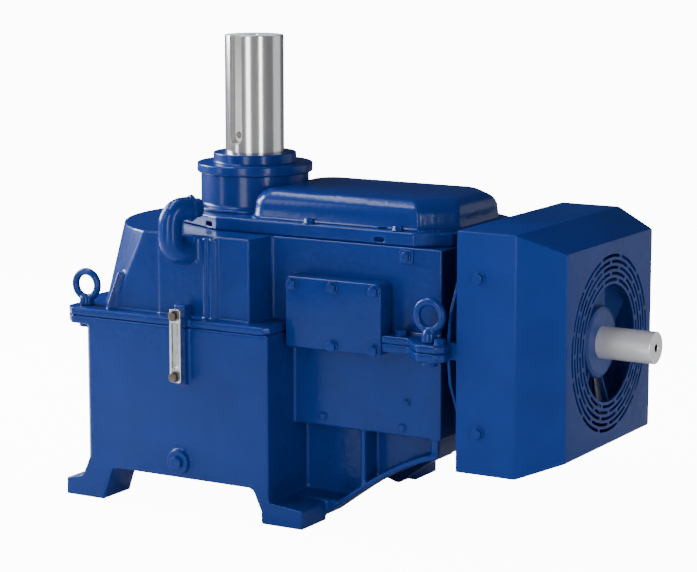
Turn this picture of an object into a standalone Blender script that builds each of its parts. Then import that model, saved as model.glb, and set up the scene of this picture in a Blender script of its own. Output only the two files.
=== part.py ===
"""Right-angle industrial gearbox with a vertical output shaft and a fan-cooled horizontal input shaft.

Lengths below are millimetres. In them X = 0 and Y = 0 is the output shaft's axis, -Y is the front,
+X points to the input shaft's end, and Z = 0 is the floor. The parent empty then moves
everything so that the world origin is the middle of the underside of the whole gearbox.
"""

import math

import bmesh
import bpy
from mathutils import Matrix, Vector

MM = 0.001
GAP = 0.3
SEGMENTS = 20

# Main levels
SPLIT_Z = 390.6
FLANGE_TOP = 407.0
FLANGE_BOTTOM = 373.0
ROOF_Z = 578.5
PLATE_TOP = 607.0
BOX_BOTTOM = 195.6
SUMP_BOTTOM = 71.0
WALL = 15.0

# Plan dimensions
SUMP_LEFT = -252.0
SUMP_BULGE = -300.0
SUMP_RIGHT = 210.0
FRONT_Y = 286.6
UPPER_Y = 256.0
UPPER_RIGHT = 158.0
UPPER_CORNER = 147.0
CONE_BASE_R = 320.0
CONE_TOP_R = 279.0
BOX_Y = 185.0
BOX_END = 552.0
NECK_Y = 135.0
NECK_END = 526.0
FLANGE_LEFT = -332.0
BOX_FLANGE_Y = 232.0

# Underside of the neck, which sweeps up to the right
BELLY_X = (285.0, 545.0)
BELLY_LOW = 8.0
BELLY_RISE = 148.0

# Feet
FOOT = 97.0
FOOT_TOP = 42.0
FOOT_LEFT = -299.7
FOOT_RIGHT = 289.7

# Shafts and gears
OUTPUT_R = 62.5
OUTPUT_TOP = 973.0
INPUT_R = 32.5
INPUT_END = 930.5
INPUT_Z = SPLIT_Z
SPUR_MODULE = 8.0
SPUR_GEAR_TEETH = 50
SPUR_PINION_TEETH = 12
BEVEL_MODULE = 9.6
BEVEL_GEAR_TEETH = 30
BEVEL_PINION_TEETH = 10
BEVEL_FACE = 45.0
BEVEL_BACK = 12.0
LAY_X = SPUR_MODULE * (SPUR_GEAR_TEETH + SPUR_PINION_TEETH) / 2
ADDENDUM = 0.7
DEDENDUM = 1.1
TOOTH_SHARE = 0.39
FLANK_SLOPE = math.tan(math.radians(20))

# Output tower
TOWER_R = 115.0
TOWER_TOP = 684.0
COVER_FLANGE_R = 123.0
COVER_FLANGE_TOP = 703.5
COVER_COLLAR_R = 88.3
COVER_TOP = 725.0
SEAL_BORE = 78.0

# Bearings: inner radius, outer radius, width
OUTPUT_BEARING = (65.0, 95.0, 42.0)
OUTPUT_LOWER_BEARING = (55.0, 90.0, 38.0)
LAY_BEARING = (35.0, 65.0, 32.0)
INPUT_BEARING = (40.0, 75.0, 36.0)
RACE_GAP = 3.0
OUTPUT_UPPER_Z = 632.0
OUTPUT_LOWER_Z = 95.0
LAY_UPPER_Z = 472.0
LAY_LOWER_Z = 100.0
INPUT_FRONT_X = 432.0
INPUT_REAR_X = 510.0

# Side cover on the bearing box
COVER_X = (219.0, 441.0)
COVER_Z = (363.0, 508.0)
COVER_FRONT = 233.0
COVER_BOLT_COLUMNS = {
    "upper": (("left", 236.0), ("middle", 330.0), ("right", 426.0)),
    "lower": (("middle", 330.0), ("right", 426.0)),
}

# Fan cowl
COWL_REAR = 613.4
COWL_BEND = 740.2
COWL_FRONT = 830.9
COWL_HALF = 238.5
COWL_FACE_Y = 201.0
COWL_FACE_Z = 204.5
COWL_WALL = 3.0
EYE_HOLE_R = 114.0
SLOT_RINGS = (127.0, 139.0, 151.0, 163.0, 175.0)
SLOT_WIDTH = 5.5
SLOTS_PER_RING = 9
GUIDE_R = 229.0

# Inspection cover on the top plate
DOME_X = (76.0, 540.0)
DOME_CHAMFER = (60.0, 62.0)
DOME_Y = 150.0
DOME_TOP = 667.0

# Small parts
GUSSET_ANGLE = math.radians(-126)
EYEBOLT_LEFT = (-267.0, -246.0)
EYEBOLT_RIGHT = (560.0, -250.0)
EYEBOLT_NECKS = {"left": 7.0, "right": 17.0}
GAUGE_X = 7.0
GAUGE_Z = (280.0, 432.0)
GAUGE_FRONT = 327.0
GAUGE_BAR = 8.0
GAUGE_BOLT_HEAD = 12.0
GAUGE_BOLT_Z = (292.5, 419.5)
PIPE_X = -21.0
PIPE_Y = -290.0
PIPE_R = 24.0
PIPE_BEND = 31.0
PIPE_TOP_Z = 632.0
PIPE_LOW_Z = 540.0
PIPE_REACH = 43.7
PIPE_TURN = math.radians(-28)
NUT_R = 28.0
NUT_END = 54.0
VENT_R = 20.0
VENT_END = 70.0

BLUE = (0.018, 0.062, 0.22)
STEEL = (0.72, 0.72, 0.71)
DARK_STEEL = (0.30, 0.30, 0.31)
RUBBER = (0.02, 0.02, 0.02)
CLEAR = (0.75, 0.80, 0.80)

X_MIN, X_MAX = FLANGE_LEFT, INPUT_END
Y_MIN, Y_MAX = GAUGE_BAR - GAUGE_FRONT - GAP - GAUGE_BOLT_HEAD, FRONT_Y
ORIGIN_SHIFT = Vector((-(X_MIN + X_MAX) / 2, -(Y_MIN + Y_MAX) / 2, 0.0)) * MM


def clear_scene():
    for obj in list(bpy.data.objects):
        bpy.data.objects.remove(obj)


def make_root():
    root = bpy.data.objects.new("gearbox_frame", None)
    root.location = ORIGIN_SHIFT
    bpy.context.scene.collection.objects.link(root)
    return root


def surface(name, colour, roughness, metallic):
    material = bpy.data.materials.new(name)
    material.use_nodes = True
    shader = material.node_tree.nodes["Principled BSDF"]
    shader.inputs["Base Color"].default_value = (*colour, 1.0)
    shader.inputs["Roughness"].default_value = roughness
    shader.inputs["Metallic"].default_value = metallic
    return material


# Meshes. Each function returns a bmesh in millimetres.


def turn_to(axis):
    """The matrix that turns a shape built along +Z to lie along the named axis."""
    if axis == "X":
        return Matrix(((0, 0, 1, 0), (1, 0, 0, 0), (0, 1, 0, 0), (0, 0, 0, 1)))
    if axis == "Y":
        return Matrix(((1, 0, 0, 0), (0, 0, 1, 0), (0, -1, 0, 0), (0, 0, 0, 1)))
    return Matrix.Identity(4)


def close_up(mesh):
    bmesh.ops.remove_doubles(mesh, verts=mesh.verts, dist=1e-4)
    bmesh.ops.recalc_face_normals(mesh, faces=mesh.faces)
    return mesh


def loft(rings, capped=True):
    """Skins rings of equal length. The first and last rings are filled, or joined to each other."""
    mesh = bmesh.new()
    loops = [[mesh.verts.new(point) for point in ring] for ring in rings]
    if not capped:
        loops.append(loops[0])
    for below, above in zip(loops, loops[1:]):
        count = len(below)
        for i in range(count):
            j = (i + 1) % count
            mesh.faces.new((below[i], below[j], above[j], above[i]))
    if capped:
        mesh.faces.new(list(reversed(loops[0])))
        mesh.faces.new(loops[-1])
    return close_up(mesh)


def box(low, high):
    (x0, y0, z0), (x1, y1, z1) = low, high
    corners = ((x0, y0), (x1, y0), (x1, y1), (x0, y1))
    return loft([[(x, y, z) for x, y in corners] for z in (z0, z1)])


def prism(outline, low, high, axis="Z"):
    """An outline extruded. It holds (x, y) for Z, (x, z) for Y and (y, z) for X."""
    place = {
        "Z": lambda a, b, c: (a, b, c),
        "Y": lambda a, b, c: (a, c, b),
        "X": lambda a, b, c: (c, a, b),
    }[axis]
    return loft([[place(a, b, c) for a, b in outline] for c in (low, high)])


def circle(radius, segments, start=0.0, centre=(0.0, 0.0)):
    angles = [start + 2 * math.pi * i / segments for i in range(segments)]
    return [(centre[0] + radius * math.cos(a), centre[1] + radius * math.sin(a)) for a in angles]


def turned(profile, centre, axis="Z"):
    """A solid of revolution. The profile is (radius, height) pairs from its low end to its high end."""
    rings = [[(x, y, h) for x, y in circle(r, SEGMENTS)] for r, h in profile]
    mesh = loft(rings)
    mesh.transform(Matrix.Translation(Vector(centre)) @ turn_to(axis))
    return close_up(mesh)


def ring(inner, outer, low, high, centre, axis="Z"):
    """A plain ring of rectangular section."""
    section = ((inner, low), (outer, low), (outer, high), (inner, high))
    rings = [[(x, y, h) for x, y in circle(r, SEGMENTS)] for r, h in section]
    mesh = loft(rings, capped=False)
    mesh.transform(Matrix.Translation(Vector(centre)) @ turn_to(axis))
    return close_up(mesh)


def sweep(path, radius, segments=12, closed=False):
    """A round tube along a path of points that lie in one plane with normal X or Y."""
    points = [Vector(p) for p in path]
    count = len(points)
    rings = []
    side = Vector((1, 0, 0)) if all(abs(p.x - points[0].x) < 1e-6 for p in points) else Vector((0, 1, 0))
    for i, point in enumerate(points):
        before = points[i - 1] if i or closed else point
        after = points[(i + 1) % count] if i < count - 1 or closed else point
        along = (after - before).normalized()
        other = along.cross(side).normalized()
        turns = [2 * math.pi * k / segments for k in range(segments)]
        rings.append([point + radius * (math.cos(t) * side + math.sin(t) * other) for t in turns])
    return loft(rings, capped=not closed)


def hexagon(across_flats):
    return circle(across_flats / math.sqrt(3), 6, math.pi / 6)


def mirrored(outline):
    """The outline with its points' second coordinate turned over, still anticlockwise."""
    return [(a, -b) for a, b in reversed(outline)]


# Objects


def store(name, mesh, root):
    mesh.transform(Matrix.Scale(MM, 4))
    data = bpy.data.meshes.new(name)
    mesh.to_mesh(data)
    mesh.free()
    obj = bpy.data.objects.new(name, data)
    bpy.context.scene.collection.objects.link(obj)
    obj.parent = root
    return obj


def helper(name, mesh, root):
    obj = store(name, mesh, root)
    obj.hide_render = True
    obj.display_type = "WIRE"
    return obj


def change(obj, operation, meshes, root):
    for mesh in meshes:
        tool = helper(f"{obj.name}_tool", mesh, root)
        modifier = obj.modifiers.new(tool.name, "BOOLEAN")
        modifier.operation = operation
        modifier.object = tool
        modifier.solver = "EXACT"


def piece(name, mesh, root, colour=BLUE, roughness=0.3, metallic=0.0, add=(), cut=(), pivot=None):
    """One named part: a base mesh, with shapes joined on and then shapes cut away."""
    obj = store(name, mesh, root)
    if pivot is not None:
        shift = Vector(pivot) * MM
        obj.data.transform(Matrix.Translation(-shift))
        obj.location = shift
    change(obj, "UNION", add, root)
    change(obj, "DIFFERENCE", cut, root)
    obj.data.shade_smooth()
    obj.data.set_sharp_from_angle(angle=math.radians(30))
    obj.data.materials.append(surface(name, colour, roughness, metallic))
    return obj


def steel(name, mesh, root, **more):
    return piece(name, mesh, root, STEEL, 0.22, 1.0, **more)


# Castings


def sump_outline(inset=0.0):
    left, bulge, right = SUMP_LEFT + inset, SUMP_BULGE + inset, SUMP_RIGHT - inset
    front = FRONT_Y - inset
    corner = 18.0
    half = [(bulge, -150.0), (left, 20.0 - front), (left + corner, -front), (right, -front)]
    return half + [(x, -y) for x, y in reversed(half)]


def flange_outline():
    left = FLANGE_LEFT
    corner = FRONT_Y - 24.0
    half = [(left, -110.0), (-304.0, -205.0), (-302.0, -corner), (-278.0, -FRONT_Y)]
    half += [(SUMP_RIGHT - 13.0, -FRONT_Y), (SUMP_RIGHT - 1.0, 12.0 - FRONT_Y)]
    return half + [(x, -y) for x, y in reversed(half)]


def box_flange_outline(start):
    """The front flange of the bearing box from x = start, with the lug that carries an eyebolt."""
    edge = -BOX_FLANGE_Y
    return [
        (start, edge),
        (502.0, edge),
        (536.0, -272.0),
        (548.0, -282.0),
        (588.0, -282.0),
        (603.0, -266.0),
        (601.0, -246.0),
        (578.0, -238.0),
        (558.0, -200.0),
        (BOX_END - 1.0, -160.0),
        (start, -160.0),
    ]


def flange_layers(low, high):
    front = prism(box_flange_outline(COVER_X[1] + 1.0), low, high)
    rear = prism(mirrored(box_flange_outline(SUMP_RIGHT - 20.0)), low, high)
    return [prism(flange_outline(), low, high), front, rear]


def belly(x):
    """Height of the underside of the neck, which sweeps up from the feet to the bearing box."""
    share = min(max((x - BELLY_X[0]) / (BELLY_X[1] - BELLY_X[0]), 0.0), 1.0)
    return BELLY_LOW + BELLY_RISE * (1.32 * share - 0.32 * share**3)


def belly_line(first, last, lift, steps=10):
    xs = [first + (last - first) * i / steps for i in range(steps + 1)]
    return [(x, belly(x) + lift) for x in xs]


def leg_outline():
    """Front view of the lower casing's two legs, joined above the arch between them."""
    return [
        (FOOT_LEFT, 0.0),
        (FOOT_LEFT + FOOT, 0.0),
        (-180.0, SUMP_BOTTOM - 3.0),
        (-172.0, SUMP_BOTTOM + 0.5),
        (164.0, SUMP_BOTTOM + 0.5),
        (173.0, SUMP_BOTTOM - 5.0),
        (FOOT_RIGHT - FOOT - 1.0, 26.0),
        (FOOT_RIGHT - FOOT, 0.0),
        (FOOT_RIGHT, 0.0),
        (FOOT_RIGHT, FOOT_TOP - 4.0),
        (SUMP_RIGHT, FOOT_TOP + 4.0),
        (SUMP_RIGHT - 1.0, 100.0),
        (SUMP_LEFT + 19.0, 100.0),
        (SUMP_LEFT + 1.0, 60.0),
        (SUMP_LEFT - 6.0, FOOT_TOP + 3.0),
        (FOOT_LEFT, FOOT_TOP - 6.0),
    ]


def input_bores(low_x, high_x, radius):
    return turned([(radius, low_x), (radius, high_x)], (0, 0, INPUT_Z), "X")


def upright(radius, x, low, high):
    return turned([(radius, low), (radius, high)], (x, 0, 0))


def both_sides(outline, inner, outer):
    """The same upright plate at the front and at the rear."""
    return prism(outline, -outer, -inner, "Y"), prism(outline, inner, outer, "Y")


def lug_bosses():
    """A round boss under each eyebolt."""
    places = [(x, side * y) for x, y in (EYEBOLT_LEFT, EYEBOLT_RIGHT) for side in (-1, 1)]
    return [turned([(17, FLANGE_BOTTOM - 12), (17, FLANGE_BOTTOM + 5)], (x, y, 0)) for x, y in places]


def lower_casing(root):
    top = SPLIT_Z - GAP / 2
    base = prism(sump_outline(), SUMP_BOTTOM, top)
    depth = FRONT_Y - FOOT
    web = belly_line(SUMP_RIGHT + 70.0, NECK_END, 0.0) + [(NECK_END, 215.0), (200.0, 215.0), (200.0, 40.0)]
    tank_low = belly_line(SUMP_RIGHT + 130.0, NECK_END, 40.0)
    tank = [(200.0, SUMP_BOTTOM), *tank_low, (NECK_END, 215.0), (200.0, 215.0)]
    skin = belly_line(SUMP_RIGHT + 76.0, 545.0, 0.0) + list(reversed(belly_line(SUMP_RIGHT + 76.0, 545.0, 12.0)))
    end_rib = [(528.0, belly(528.0) + 2), (545.0, belly(545.0) + 2), (545.0, 200.0), (528.0, 200.0)]
    middle_rib = [(366.0, belly(366.0) + 5), (377.0, belly(377.0) + 5), (377.0, 200.0), (366.0, 200.0)]
    floor = [(200.0, 30.0), (286.0, 8.0), (310.0, belly(310.0) + 6), (310.0, 44.0), (200.0, 47.0)]
    shapes = [
        prism(leg_outline(), -FRONT_Y, -depth, "Y"),
        prism(leg_outline(), depth, FRONT_Y, "Y"),
        box((SUMP_RIGHT - 20, -BOX_Y, BOX_BOTTOM), (BOX_END, BOX_Y, top)),
        prism(tank, 5 - NECK_Y, NECK_Y - 5, "Y"),
        *both_sides(web, NECK_Y - WALL, NECK_Y),
        *both_sides(skin, NECK_Y - WALL, BOX_Y),
        *both_sides(floor, NECK_Y - WALL, depth + 2),
        prism(end_rib, 2 - BOX_Y, BOX_Y - 2, "Y"),
        prism(middle_rib, 2 - BOX_Y, BOX_Y - 2, "Y"),
        *flange_layers(FLANGE_BOTTOM, top),
        box((GAUGE_X - 15, -GAUGE_FRONT + 27, 272), (GAUGE_X + 12, -FRONT_Y + 5, top - 0.4)),
        turned([(26, 0), (26, 14)], (-5, -FRONT_Y - 9, 107), "Y"),
        box((SUMP_RIGHT - 18, -depth, 40), (SUMP_RIGHT, depth, 95)),
        *lug_bosses(),
    ]
    well_low = belly_line(SUMP_RIGHT + 130.0, NECK_END - WALL, 55.0)
    well = [(190.0, SUMP_BOTTOM + WALL), *well_low, (NECK_END - WALL, 230.0), (190.0, 230.0)]
    hollow = [
        prism(sump_outline(WALL), SUMP_BOTTOM + WALL, top + 20),
        box((190, WALL - BOX_Y, BOX_BOTTOM + WALL), (BOX_END - 45, BOX_Y - WALL, top + 20)),
        prism(well, WALL - NECK_Y, NECK_Y - WALL, "Y"),
    ]
    seats = [
        upright(OUTPUT_LOWER_BEARING[1] + 24, 0, SUMP_BOTTOM + 5, OUTPUT_LOWER_Z + OUTPUT_LOWER_BEARING[2]),
        upright(LAY_BEARING[1] + 18, LAY_X, SUMP_BOTTOM + 5, LAY_LOWER_Z + LAY_BEARING[2]),
        box((INPUT_FRONT_X - 5, -BOX_Y + 5, BOX_BOTTOM + 5), (INPUT_FRONT_X + 41, BOX_Y - 5, top)),
    ]
    bores = [
        upright(OUTPUT_LOWER_BEARING[1] + GAP, 0, OUTPUT_LOWER_Z - GAP, 400),
        upright(LAY_BEARING[1] + GAP, LAY_X, LAY_LOWER_Z - GAP, 300),
        input_bores(INPUT_FRONT_X - 30, BOX_END + 20, INPUT_BEARING[1] + GAP),
    ]
    obj = piece("lower_casing", base, root, add=shapes, cut=hollow)
    change(obj, "UNION", seats, root)
    change(obj, "DIFFERENCE", bores, root)
    return obj


def cone(inset, low, high):
    """The tapered round end of the upper casing, as (radius, height) pairs."""
    slope = (CONE_BASE_R - CONE_TOP_R) / (ROOF_Z - FLANGE_TOP)
    return [(CONE_BASE_R - inset - slope * (z - FLANGE_TOP), z) for z in (low, high)]


def round_end(inset, low, high):
    """Cone on the left, flat sides to the right, as a loft of two outlines."""
    rings = []
    for radius, z in cone(inset, low, high):
        side = UPPER_Y - inset
        limit = math.asin(side / radius)
        turns = [math.pi - limit + 2 * limit * i / 14 for i in range(15)]
        arc = [(radius * math.cos(t), radius * math.sin(t), z) for t in turns]
        right, corner = UPPER_RIGHT - inset, UPPER_CORNER - inset
        wall = [(corner, -side, z), (right, -BOX_Y, z), (right, BOX_Y, z), (corner, side, z)]
        rings.append(arc + wall)
    return loft(rings)


def gusset(angle):
    """A triangular rib on the cone, above an eyebolt lug."""
    outline = [(CONE_TOP_R, 484.0), (CONE_TOP_R, FLANGE_TOP - 4), (336.0, FLANGE_TOP - 4), (335.0, 416.0)]
    outline.append((CONE_TOP_R + 31, 484.0))
    mesh = prism(outline, -5.0, 5.0, "Y")
    mesh.transform(Matrix.Rotation(angle, 4, "Z"))
    return mesh


def upper_casing(root):
    low = SPLIT_Z + GAP / 2
    base = round_end(0.0, low, ROOF_Z)
    shapes = [
        box((UPPER_RIGHT - 20, -BOX_Y, low), (BOX_END, BOX_Y, ROOF_Z)),
        *flange_layers(low, FLANGE_TOP),
        gusset(GUSSET_ANGLE),
        gusset(-GUSSET_ANGLE),
        box((GAUGE_X - 15, -GAUGE_FRONT + 27, low + 0.4), (GAUGE_X + 12, -GAUGE_FRONT + 53, 438)),
        box((56, -UPPER_Y - 7, FLANGE_TOP - 4), (69, -UPPER_Y + 5, ROOF_Z - 4)),
        box((18, -UPPER_Y - 5, 525), (25, -UPPER_Y + 5, ROOF_Z - 6)),
        box((41, -UPPER_Y - 6, FLANGE_TOP - 4), (46, -UPPER_Y + 5, ROOF_Z - 5)),
        box((-72, -UPPER_Y - 2.5, FLANGE_TOP - 4), (72, -UPPER_Y + 5, ROOF_Z - 5)),
    ]
    opening_roof = box((175, 45 - BOX_Y, ROOF_Z - 40), (485, BOX_Y - 45, ROOF_Z + 20))
    hollow = [
        round_end(WALL, low - 20, ROOF_Z - WALL),
        box((UPPER_RIGHT - 25, WALL - BOX_Y, low - 20), (BOX_END - 45, BOX_Y - WALL, ROOF_Z - WALL)),
        upright(150, 0, ROOF_Z - 30, ROOF_Z + 20),
        opening_roof,
    ]
    bridge_low = LAY_UPPER_Z - 6
    seats = [
        box((LAY_X - 92, -BOX_Y + 5, bridge_low), (LAY_X + 92, BOX_Y - 5, LAY_UPPER_Z + LAY_BEARING[2])),
        box((INPUT_FRONT_X - 5, -BOX_Y + 5, low), (INPUT_FRONT_X + 41, BOX_Y - 5, ROOF_Z - WALL - 40)),
    ]
    bores = [
        upright(LAY_BEARING[1] + GAP, LAY_X, bridge_low + 6 - GAP, ROOF_Z + 30),
        upright(LAY_BEARING[0] + 14, LAY_X, bridge_low - 20, ROOF_Z),
        input_bores(INPUT_FRONT_X - 30, BOX_END + 20, INPUT_BEARING[1] + GAP),
    ]
    obj = piece("upper_casing", base, root, add=shapes, cut=hollow)
    change(obj, "UNION", seats, root)
    change(obj, "DIFFERENCE", bores, root)
    return obj


def top_cover_plate(root):
    half = [(-150, -50), (-105, -118), (17, -178), (484, -178), (548, -132)]
    outline = half + [(x, -y) for x, y in reversed(half)]
    base = prism(outline, ROOF_Z + GAP, PLATE_TOP)
    cuts = [
        upright(OUTPUT_BEARING[1] + 2, 0, ROOF_Z - 10, PLATE_TOP + 10),
        box((150, 75 - BOX_Y, ROOF_Z - 10), (470, BOX_Y - 75, PLATE_TOP + 10)),
    ]
    return piece("top_cover_plate", base, root, cut=cuts)


def dome_ring(inset, z):
    left, right, side = DOME_X[0] + inset, DOME_X[1] - inset, DOME_Y - inset
    clip = 22.0
    return [
        (left, clip - side, z),
        (left + clip, -side, z),
        (right - DOME_CHAMFER[0], -side, z),
        (right, DOME_CHAMFER[1] - side, z),
        (right, side - DOME_CHAMFER[1], z),
        (right - DOME_CHAMFER[0], side, z),
        (left + clip, side, z),
        (left, side - clip, z),
    ]


def inspection_cover(root):
    base = PLATE_TOP + GAP
    levels = [(0, base), (0, 628), (7, 646), (22, 658), (42, DOME_TOP)]
    inner = [(5, base - 10), (5, 628), (12, 644), (27, 654), (44, DOME_TOP - 5)]
    cuts = [loft([dome_ring(*level) for level in inner]), upright(TOWER_R + 17, 0, base - 20, DOME_TOP + 20)]
    return piece("inspection_cover", loft([dome_ring(*level) for level in levels]), root, cut=cuts)


def output_tower(root):
    low = PLATE_TOP + GAP
    profile = [(TOWER_R + 14, low), (TOWER_R + 14, low + 5), (TOWER_R + 4, low + 11), (TOWER_R, low + 22)]
    profile.append((TOWER_R, TOWER_TOP - GAP))
    bore = [upright(OUTPUT_BEARING[1] + GAP, 0, OUTPUT_UPPER_Z - GAP, TOWER_TOP + 20)]
    bore.append(upright(OUTPUT_BEARING[0] + 14, 0, low - 20, TOWER_TOP))
    return piece("output_tower", turned(profile, (0, 0, 0)), root, cut=bore)


def output_seal_cover(root):
    low = TOWER_TOP
    profile = [(COVER_FLANGE_R, low), (COVER_FLANGE_R, COVER_FLANGE_TOP), (COVER_COLLAR_R, COVER_FLANGE_TOP + 1)]
    profile.append((COVER_COLLAR_R, COVER_TOP))
    bore = [upright(OUTPUT_R + 1.5, 0, low - 20, COVER_TOP + 20)]
    bore.append(upright(SEAL_BORE + GAP, 0, COVER_FLANGE_TOP + 3 - GAP, COVER_TOP + 20))
    return piece("output_seal_cover", turned(profile, (0, 0, 0)), root, cut=bore)


def side_cover(root):
    back, front = -(BOX_Y + GAP), -COVER_FRONT
    (x0, x1), (z0, z1) = COVER_X, COVER_Z
    outline = [(x0, z0), (x1, z0), (x1, z1 - 14), (x1 - 4, z1 - 4), (x1 - 14, z1), (x0, z1)]
    hollow = box((x0 + 28, back - 30, z0 + 28), (x1 - 28, back + 10, z1 - 28))
    return piece("side_cover", prism(outline, front, back, "Y"), root, cut=[hollow])


def input_bearing_cover(root):
    start = BOX_END + GAP
    profile = [(112, start), (112, start + 14), (96, start + 15), (90, 585.7)]
    bore = turned([(INPUT_R + 12, start - 20), (INPUT_R + 12, 620)], (0, 0, INPUT_Z), "X")
    spigot = turned([(INPUT_BEARING[1] - 1, BOX_END - 5), (INPUT_BEARING[1] - 1, start + 5)], (0, 0, INPUT_Z), "X")
    cover = turned(profile, (0, 0, INPUT_Z), "X")
    return piece("input_bearing_cover", cover, root, add=[spigot], cut=[bore])


# Cooling


def cowl_rings(inset, rear):
    """The cowl's outline: square behind, then drawn in on four sides to the front face."""
    rings = []
    stations = ((rear, 0.0), (COWL_BEND, 0.0), (COWL_FRONT - inset, 1.0))
    for x, draw in stations:
        half_y = COWL_HALF - inset - draw * (COWL_HALF - COWL_FACE_Y)
        half_z = 239.5 - inset - draw * (239.5 - COWL_FACE_Z)
        corners = ((-half_y, -half_z), (half_y, -half_z), (half_y, half_z), (-half_y, half_z))
        rings.append([(x, y, INPUT_Z + z) for y, z in corners])
    return loft(rings)


def arc_slot(radius, middle, half_angle):
    steps = 2
    inner = radius - SLOT_WIDTH / 2
    outer = radius + SLOT_WIDTH / 2
    turns = [middle - half_angle + 2 * half_angle * i / steps for i in range(steps + 1)]
    outline = [(outer * math.cos(t), outer * math.sin(t)) for t in turns]
    outline += [(inner * math.cos(t), inner * math.sin(t)) for t in reversed(turns)]
    return [(y, INPUT_Z + z) for y, z in outline]


def grille_cutter():
    """All the arc slots of the intake grille in one mesh, each ring turned half a step from the last."""
    whole = bmesh.new()
    pitch = 2 * math.pi / SLOTS_PER_RING
    for row, radius in enumerate(SLOT_RINGS):
        half_angle = (pitch * radius - 16.0) / radius / 2
        for i in range(SLOTS_PER_RING):
            middle = pitch * (i + 0.5 * (row % 2))
            slot = prism(arc_slot(radius, middle, half_angle), COWL_FRONT - 20, COWL_FRONT + 20, "X")
            data = bpy.data.meshes.new("slot")
            slot.to_mesh(data)
            slot.free()
            whole.from_mesh(data)
            bpy.data.meshes.remove(data)
    return whole


def fan_cowl(root):
    eye = turned([(EYE_HOLE_R, COWL_FRONT - 20), (EYE_HOLE_R, COWL_FRONT + 20)], (0, 0, INPUT_Z), "X")
    cuts = [cowl_rings(COWL_WALL, COWL_REAR - 30), eye, grille_cutter()]
    return piece("fan_cowl", cowl_rings(0.0, COWL_REAR), root, cut=cuts)


def cowl_bracket(name, side, root):
    """A bent steel bar from the guide plate's rim to the inside of the cowl."""
    face = side * (COWL_HALF - COWL_WALL - GAP)
    inner = side * (COWL_HALF - COWL_WALL - 6)
    near, far = min(face, inner), max(face, inner)
    bar = box((620, near, 215), (690, far, 566))
    arm = box((592.3, near, 374), (625, far, 407))
    reach = side * 185
    foot = box((592.3, min(reach, inner) - 1, 374), (598, max(reach, inner) + 1, 407))
    return piece(name, bar, root, add=[arm, foot])


def air_guide_plate(root):
    return piece("air_guide_plate", ring(60, GUIDE_R, 586, 592, (0, 0, INPUT_Z), "X"), root)


def cooling_fan(root):
    hub = turned([(66, 742), (72, 748), (72, 813), (71, 814)], (0, 0, INPUT_Z), "X")
    blades = []
    count = 7
    for i in range(count):
        blade = box((-26, -2.5, 0), (26, 2.5, 128))
        blade.transform(Matrix.Rotation(math.radians(38), 4, "Z"))
        blade.transform(Matrix.Translation((790, 0, 62)))
        blade.transform(Matrix.Rotation(2 * math.pi * i / count, 4, "X"))
        blade.transform(Matrix.Translation((0, 0, INPUT_Z)))
        blades.append(blade)
    bore = turned([(INPUT_R + GAP, 700), (INPUT_R + GAP, 850)], (0, 0, INPUT_Z), "X")
    return piece("cooling_fan", hub, root, add=blades, cut=[bore], pivot=(790, 0, INPUT_Z))


# Gears and shafts


def tooth_points(module, teeth, index, phase, scale=1.0, lean=1.0):
    """The four corners of one straight-flanked tooth. Lean stretches its height on a bevel gear."""
    pitch_r = module * teeth / 2
    half = TOOTH_SHARE * math.pi * module / 2
    root_half = half + DEDENDUM * module * FLANK_SLOPE
    tip_half = half - ADDENDUM * module * FLANK_SLOPE
    middle = phase + 2 * math.pi * index / teeth
    root_r = pitch_r - DEDENDUM * module * lean
    tip_r = pitch_r + ADDENDUM * module * lean
    corners = ((root_r, -root_half), (tip_r, -tip_half), (tip_r, tip_half), (root_r, root_half))
    turned_to = [(r * scale, middle + offset / pitch_r) for r, offset in corners]
    return [(r * math.cos(a), r * math.sin(a)) for r, a in turned_to]


def tooth_outline(module, teeth, phase, scale=1.0, lean=1.0):
    outline = []
    for index in range(teeth):
        outline += tooth_points(module, teeth, index, phase, scale, lean)
    return outline


def output_gear(root):
    outline = tooth_outline(SPUR_MODULE, SPUR_GEAR_TEETH, 0.0)
    cuts = [upright(75 + GAP, 0, 150, 300)]
    recess = (
        ring(98, 178, 160, 200, (0, 0, 0)),
        ring(98, 178, 250, 290, (0, 0, 0)),
    )
    return steel("output_gear", prism(outline, 185, 265), root, cut=[*cuts, *recess], pivot=(0, 0, 225))


def output_shaft(root):
    key_turn = math.radians(-98)
    profile = [(54, OUTPUT_LOWER_Z + 1), (54.7, OUTPUT_LOWER_Z + 3), (54.7, 150), (74.7, 151), (74.7, 275)]
    profile += [(88, 276), (88, 300), (76, 301), (76, 560), (64.7, 600), (64.7, 677), (OUTPUT_R, 679)]
    profile += [(OUTPUT_R, OUTPUT_TOP - 3), (OUTPUT_R - 3, OUTPUT_TOP)]
    slot = prism([(OUTPUT_R - 11, -16), (OUTPUT_R + 20, -16), (OUTPUT_R + 20, 16), (OUTPUT_R - 11, 16)], 760, 1000)
    slot.transform(Matrix.Rotation(key_turn, 4, "Z"))
    slot_end = turned([(16, OUTPUT_R - 11), (16, OUTPUT_R + 20)], (0, 0, 760), "X")
    slot_end.transform(Matrix.Rotation(key_turn, 4, "Z"))
    centre_hole = upright(12, 0, OUTPUT_TOP - 30, OUTPUT_TOP + 10)
    shaft = turned(profile, (0, 0, 0))
    return steel("output_shaft", shaft, root, cut=[slot, slot_end, centre_hole], pivot=(0, 0, 700))


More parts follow.
